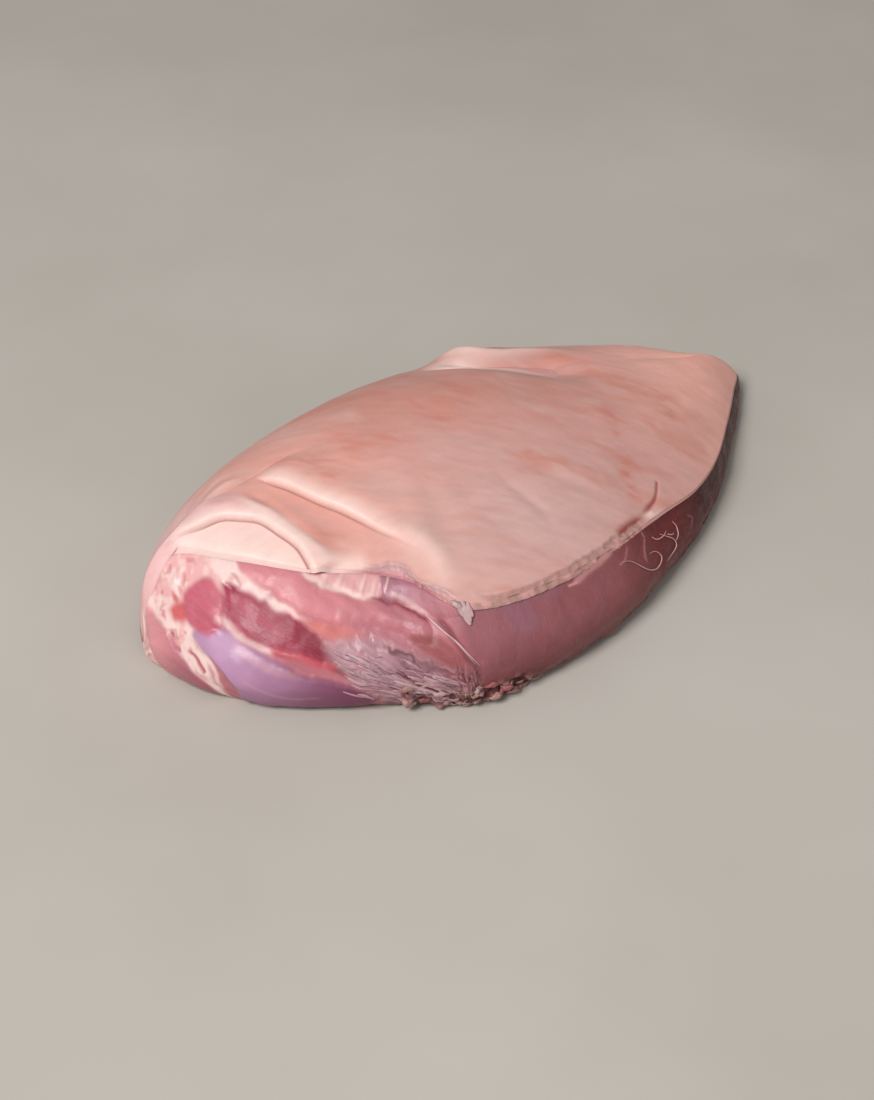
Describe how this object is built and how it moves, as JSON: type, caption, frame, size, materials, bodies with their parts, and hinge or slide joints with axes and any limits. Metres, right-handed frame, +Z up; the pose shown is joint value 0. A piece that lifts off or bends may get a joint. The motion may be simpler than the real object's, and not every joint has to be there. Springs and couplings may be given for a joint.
{
  "type": "raw pork joint with rind",
  "caption": "Raw boneless pork joint lying rind up: domed, folded rind over a cut face of bare muscles, with one blunt end and one pointed end.",
  "frame": {"origin": "centre of the bounding box in plan, on the surface that the joint lies on", "axes": "+X along the joint from the blunt end to the pointed end, +Y towards the side that the rind covers, +Z up through the rind"},
  "size_m": [0.4066, 0.2252, 0.0809],
  "materials": {
    "lean": "moist raw muscle with silverskin, satin",
    "rind": "smooth raw pork skin, satin",
    "fat": "soft pale fat and connective tissue, satin"
  },
  "bodies": {
    "root": {"pork_joint": "lean"}
  },
  "joints": []
}
